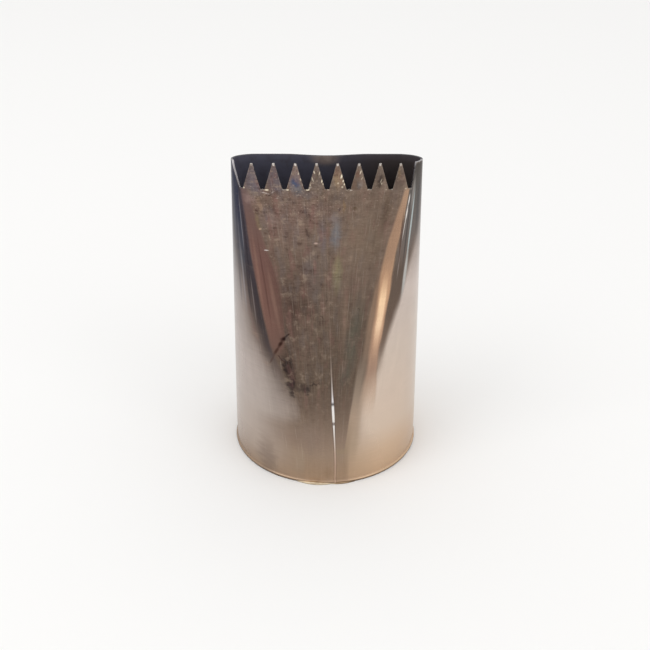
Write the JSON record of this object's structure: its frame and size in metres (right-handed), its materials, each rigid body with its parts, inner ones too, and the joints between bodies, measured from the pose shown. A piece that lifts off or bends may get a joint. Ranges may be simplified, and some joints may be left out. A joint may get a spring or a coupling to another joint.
{
  "type": "piping nozzle",
  "caption": "Large flat-mouthed piping nozzle for ribbons and basket weave: a round sheet-metal base pressed to a narrow slot, toothed on the front lip and plain on the back.",
  "frame": {"origin": "centre of the round base rim, on the surface that the nozzle stands on", "axes": "+Z from the base rim up to the mouth; -Y is the side of the toothed lip and the seam, +Y the side of the plain lip; +X runs along the mouth"},
  "size_m": [0.0456, 0.0461, 0.0735],
  "materials": {
    "sheet_steel": "bare stainless sheet, dulled to a warm grey-brown on the flat faces, burnished at the folds, with fine scratches",
    "weld_steel": "bright ground weld bead"
  },
  "bodies": {
    "root": {"nozzle_shell": "sheet_steel", "seam_weld": "weld_steel", "rim_weld": "weld_steel"}
  },
  "joints": []
}
